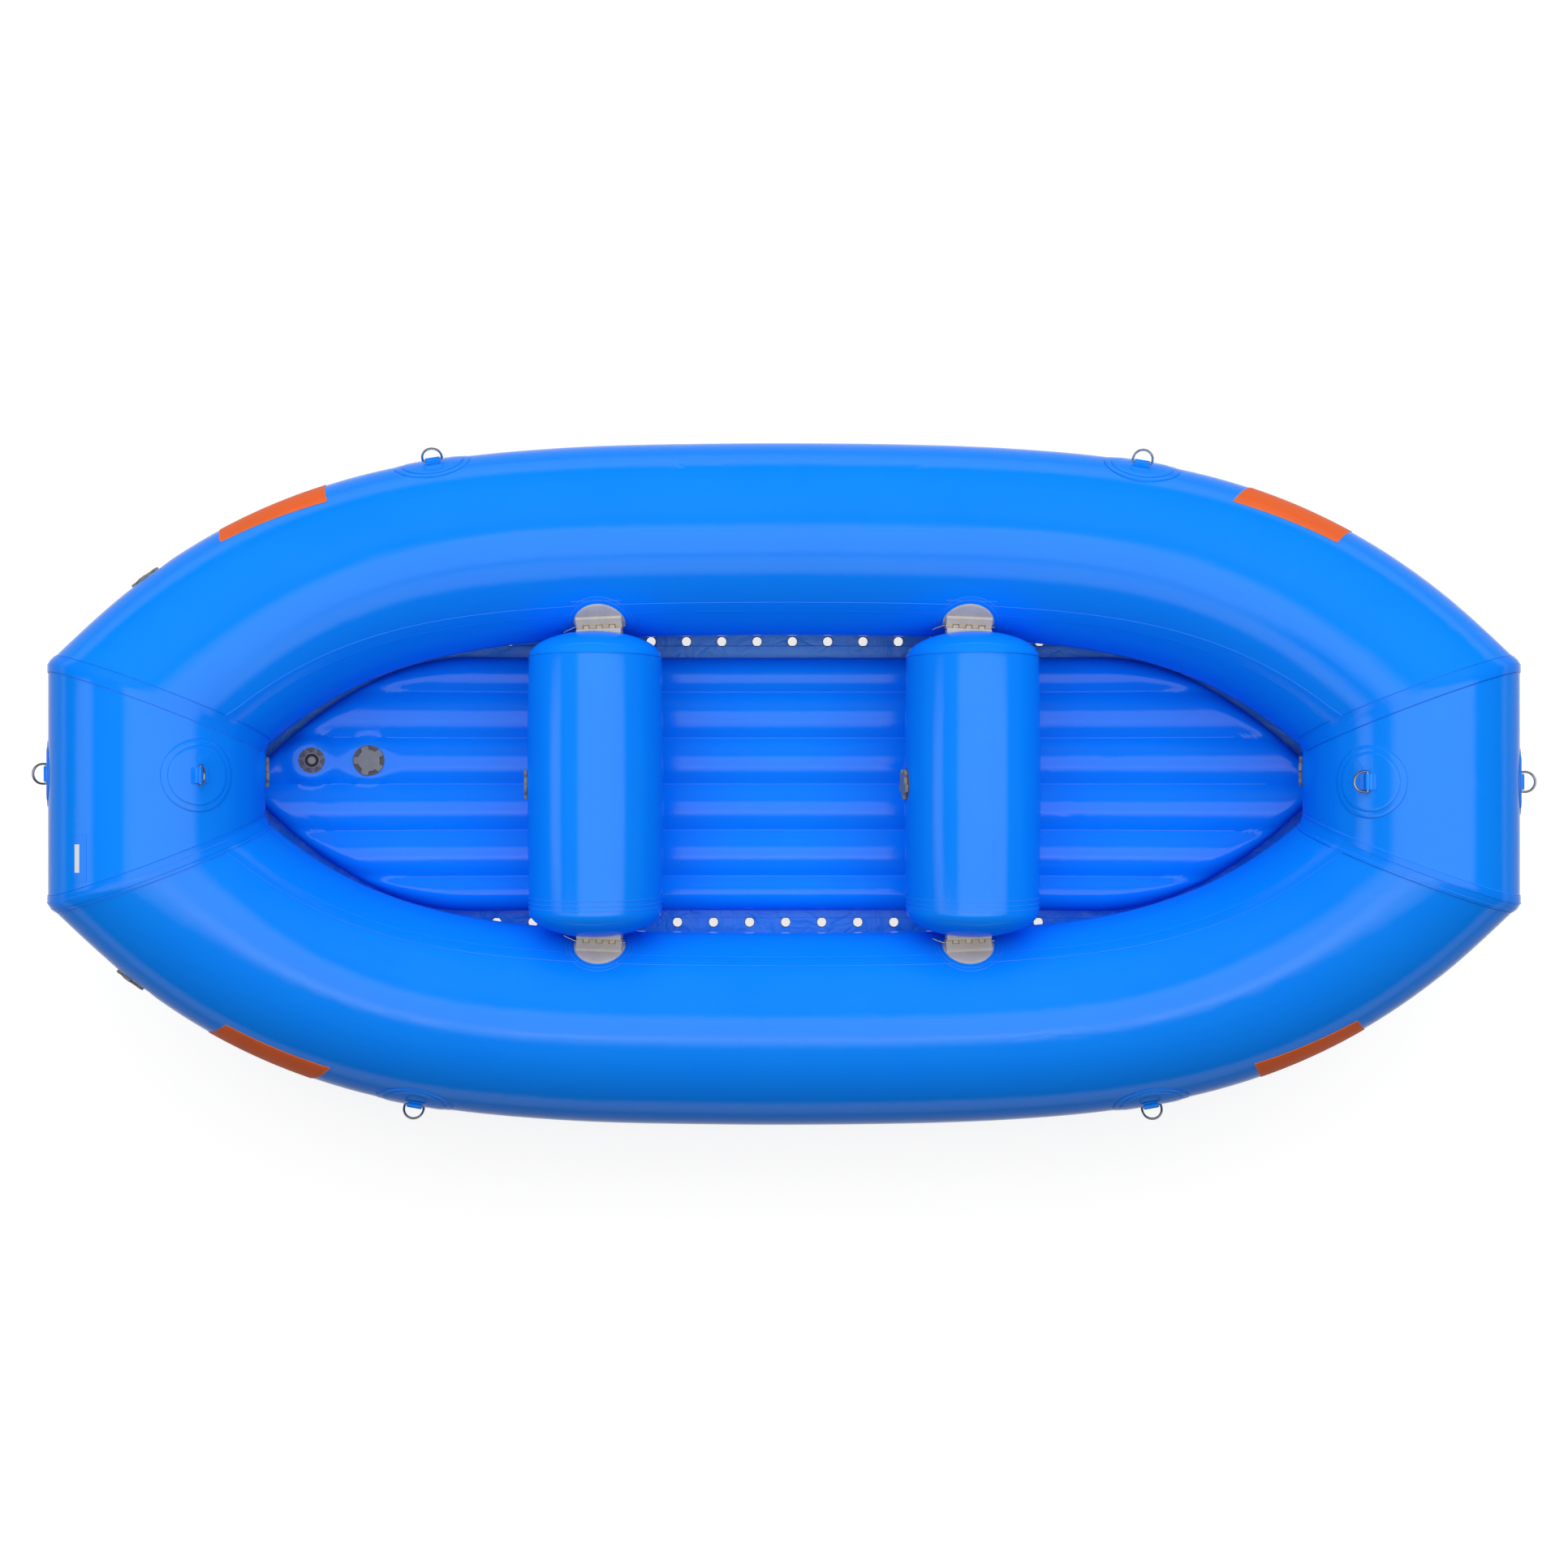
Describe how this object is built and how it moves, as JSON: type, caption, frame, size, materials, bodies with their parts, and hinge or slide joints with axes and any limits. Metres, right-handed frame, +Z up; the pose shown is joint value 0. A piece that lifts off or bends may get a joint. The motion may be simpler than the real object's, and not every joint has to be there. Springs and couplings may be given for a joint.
{
  "type": "whitewater raft",
  "caption": "Self-bailing inflatable raft: kicked side and end tubes, an I-beam floor with drain holes, pinned thwarts, lobed-cap valves and D-rings on round patches.",
  "frame": {"origin": "on the ground below the middle of the hull's box", "axes": "+X towards the bow, +Y to port, +Z up"},
  "size_m": [3.5578, 1.724, 0.7191],
  "materials": {
    "hull_fabric": "glossy coated fabric, mid blue",
    "seam_tape": "glossy coated fabric tape, mid blue",
    "hinge_plastic": "moulded plastic, warm beige grey",
    "valve_plastic": "moulded plastic, slate grey",
    "valve_inner": "moulded plastic, black grey",
    "relief_rubber": "matt black rubber",
    "stainless": "polished stainless wire"
  },
  "bodies": {
    "raft": {"bow_thwart": "hull_fabric", "bow_thwart_valve_body": "valve_plastic", "bow_tube": "hull_fabric", "bow_valve_body": "valve_plastic", "bulkhead_seam_port_bow": "seam_tape", "bulkhead_seam_port_stern": "seam_tape", "bulkhead_seam_starboard_bow": "seam_tape", "bulkhead_seam_starboard_stern": "seam_tape", "floor": "hull_fabric", "floor_valve_body": "valve_plastic", "hinge_leaf_port_bow": "hinge_plastic", "hinge_leaf_port_stern": "hinge_plastic", "hinge_leaf_starboard_bow": "hinge_plastic", "hinge_leaf_starboard_stern": "hinge_plastic", "hinge_plate_port_bow": "hinge_plastic", "hinge_plate_port_stern": "hinge_plastic", "hinge_plate_starboard_bow": "hinge_plastic", "hinge_plate_starboard_stern": "hinge_plastic", "port_tube": "hull_fabric", "port_valve_body": "valve_plastic", "relief_valve_body": "valve_plastic", "ring_patch_bow_outer": "hull_fabric", "ring_patch_bow_top": "hull_fabric", "ring_patch_port_bow": "hull_fabric", "ring_patch_port_stern": "hull_fabric", "ring_patch_starboard_bow": "hull_fabric", "ring_patch_starboard_stern": "hull_fabric", "ring_patch_stern_outer": "hull_fabric", "ring_patch_stern_top": "hull_fabric", "starboard_tube": "hull_fabric", "starboard_valve_body": "valve_plastic", "stern_thwart": "hull_fabric", "stern_thwart_valve_body": "valve_plastic", "stern_tube": "hull_fabric", "stern_valve_body": "valve_plastic"},
    "bow_thwart_valve_cap": {"bow_thwart_valve_cap": "valve_plastic"},
    "bow_thwart_valve_plunger": {"bow_thwart_valve_plunger": "valve_inner"},
    "bow_valve_cap": {"bow_valve_cap": "valve_plastic"},
    "d_ring_bow_outer": {"d_ring_bow_outer": "stainless"},
    "d_ring_bow_top": {"d_ring_bow_top": "stainless"},
    "d_ring_port_bow": {"d_ring_port_bow": "stainless"},
    "d_ring_port_stern": {"d_ring_port_stern": "stainless"},
    "d_ring_starboard_bow": {"d_ring_starboard_bow": "stainless"},
    "d_ring_starboard_stern": {"d_ring_starboard_stern": "stainless"},
    "d_ring_stern_outer": {"d_ring_stern_outer": "stainless"},
    "d_ring_stern_top": {"d_ring_stern_top": "stainless"},
    "floor_valve_cap": {"floor_valve_cap": "valve_plastic"},
    "floor_valve_plunger": {"floor_valve_plunger": "valve_inner"},
    "hinge_pin_port_bow": {"hinge_pin_port_bow": "stainless"},
    "hinge_pin_port_stern": {"hinge_pin_port_stern": "stainless"},
    "hinge_pin_starboard_bow": {"hinge_pin_starboard_bow": "stainless"},
    "hinge_pin_starboard_stern": {"hinge_pin_starboard_stern": "stainless"},
    "port_valve_cap": {"port_valve_cap": "valve_plastic"},
    "port_valve_plunger": {"port_valve_plunger": "valve_inner"},
    "relief_valve_poppet": {"relief_valve_poppet": "relief_rubber"},
    "starboard_valve_cap": {"starboard_valve_cap": "valve_plastic"},
    "starboard_valve_plunger": {"starboard_valve_plunger": "valve_inner"},
    "stern_thwart_valve_cap": {"stern_thwart_valve_cap": "valve_plastic"},
    "stern_thwart_valve_plunger": {"stern_thwart_valve_plunger": "valve_inner"},
    "stern_valve_cap": {"stern_valve_cap": "valve_plastic"}
  },
  "joints": [
    {"name": "bow_thwart_valve_cap_twist", "type": "hinge", "parent": "raft", "child": "bow_thwart_valve_cap", "pos_m": [0.30003, 0, 0.37355], "axis": [-0.9914, -0.0064, 0.1305], "range_deg": [0, 60]},
    {"name": "bow_thwart_valve_plunger_press", "type": "slide", "parent": "raft", "child": "bow_thwart_valve_plunger", "axis": [0.9914, 0.0064, -0.1305], "range_m": [0, 0.005], "stiffness_N_per_m": 300, "springref_m": -0.003},
    {"name": "bow_valve_cap_twist", "type": "hinge", "parent": "raft", "child": "bow_valve_cap", "pos_m": [1.26727, 0.03, 0.41251], "axis": [-0.9318, 0, -0.3631], "range_deg": [0, 60]},
    {"name": "d_ring_bow_outer_swing", "type": "hinge", "parent": "raft", "child": "d_ring_bow_outer", "pos_m": [1.74543, 0.005, 0.53155], "axis": [0, -1, 0], "range_deg": [-79, 101]},
    {"name": "d_ring_bow_top_swing", "type": "hinge", "parent": "raft", "child": "d_ring_bow_top", "pos_m": [1.3323, 0.005, 0.6618], "axis": [0, -1, 0], "range_deg": [-133, 47]},
    {"name": "d_ring_port_bow_swing", "type": "hinge", "parent": "raft", "child": "d_ring_port_bow", "pos_m": [0.87992, 0.79051, 0.38959], "axis": [0.9682, -0.1957, 0.1559], "range_deg": [-93, 87]},
    {"name": "d_ring_port_stern_swing", "type": "hinge", "parent": "raft", "child": "d_ring_port_stern", "pos_m": [-0.8665, 0.79937, 0.37593], "axis": [0.9711, 0.1863, -0.1489], "range_deg": [-108, 72]},
    {"name": "d_ring_starboard_bow_swing", "type": "hinge", "parent": "raft", "child": "d_ring_starboard_bow", "pos_m": [0.90492, -0.79396, 0.37728], "axis": [0.9642, 0.208, 0.1646], "range_deg": [-88, 92]},
    {"name": "d_ring_starboard_stern_swing", "type": "hinge", "parent": "raft", "child": "d_ring_starboard_stern", "pos_m": [-0.91046, -0.79282, 0.3781], "axis": [0.9631, -0.2113, -0.1668], "range_deg": [-86, 94]},
    {"name": "d_ring_stern_outer_swing", "type": "hinge", "parent": "raft", "child": "d_ring_stern_outer", "pos_m": [-1.74543, 0.024, 0.53155], "axis": [0, 1, 0], "range_deg": [-77, 103]},
    {"name": "d_ring_stern_top_swing", "type": "hinge", "parent": "raft", "child": "d_ring_stern_top", "pos_m": [-1.3323, 0.02, 0.6618], "axis": [0, 1, 0], "range_deg": [-84, 96]},
    {"name": "floor_valve_cap_twist", "type": "hinge", "parent": "raft", "child": "floor_valve_cap", "pos_m": [-1.072, 0.0605, 0.19414], "axis": [0.2599, 0, 0.9656], "range_deg": [0, 60]},
    {"name": "floor_valve_plunger_press", "type": "slide", "parent": "raft", "child": "floor_valve_plunger", "axis": [-0.2599, 0, -0.9656], "range_m": [0, 0.005], "stiffness_N_per_m": 300, "springref_m": -0.003},
    {"name": "hinge_pin_port_bow_draw", "type": "slide", "parent": "raft", "child": "hinge_pin_port_bow", "axis": [-0.9991, 0.0425, 0], "range_m": [0, 0.125]},
    {"name": "hinge_pin_port_stern_draw", "type": "slide", "parent": "raft", "child": "hinge_pin_port_stern", "axis": [-0.9991, -0.0425, 0], "range_m": [0, 0.125]},
    {"name": "hinge_pin_starboard_bow_draw", "type": "slide", "parent": "raft", "child": "hinge_pin_starboard_bow", "axis": [-0.9991, -0.0425, 0], "range_m": [0, 0.125]},
    {"name": "hinge_pin_starboard_stern_draw", "type": "slide", "parent": "raft", "child": "hinge_pin_starboard_stern", "axis": [-0.9991, 0.0425, 0], "range_m": [0, 0.125]},
    {"name": "port_valve_cap_twist", "type": "hinge", "parent": "raft", "child": "port_valve_cap", "pos_m": [-1.52749, 0.49145, 0.4806], "axis": [-0.5818, 0.775, 0.2467], "range_deg": [0, 60]},
    {"name": "port_valve_plunger_press", "type": "slide", "parent": "raft", "child": "port_valve_plunger", "axis": [0.5818, -0.775, -0.2467], "range_m": [0, 0.005], "stiffness_N_per_m": 300, "springref_m": -0.003},
    {"name": "relief_valve_poppet_lift", "type": "slide", "parent": "raft", "child": "relief_valve_poppet", "axis": [0.3052, -0.0121, 0.9522], "range_m": [0, 0.003], "stiffness_N_per_m": 400, "springref_m": -0.003},
    {"name": "starboard_valve_cap_twist", "type": "hinge", "parent": "raft", "child": "starboard_valve_cap", "pos_m": [-1.55852, -0.46423, 0.49181], "axis": [-0.5818, -0.775, 0.2467], "range_deg": [0, 60]},
    {"name": "starboard_valve_plunger_press", "type": "slide", "parent": "raft", "child": "starboard_valve_plunger", "axis": [0.5818, 0.775, -0.2467], "range_m": [0, 0.005], "stiffness_N_per_m": 300, "springref_m": -0.003},
    {"name": "stern_thwart_valve_cap_twist", "type": "hinge", "parent": "raft", "child": "stern_thwart_valve_cap", "pos_m": [-0.63197, 0, 0.37355], "axis": [-0.9914, -0.0064, 0.1305], "range_deg": [0, 60]},
    {"name": "stern_thwart_valve_plunger_press", "type": "slide", "parent": "raft", "child": "stern_thwart_valve_plunger", "axis": [0.9914, 0.0064, -0.1305], "range_m": [0, 0.005], "stiffness_N_per_m": 300, "springref_m": -0.003},
    {"name": "stern_valve_cap_twist", "type": "hinge", "parent": "raft", "child": "stern_valve_cap", "pos_m": [-1.26727, 0.03, 0.41251], "axis": [0.9318, 0, -0.3631], "range_deg": [0, 60]}
  ]
}
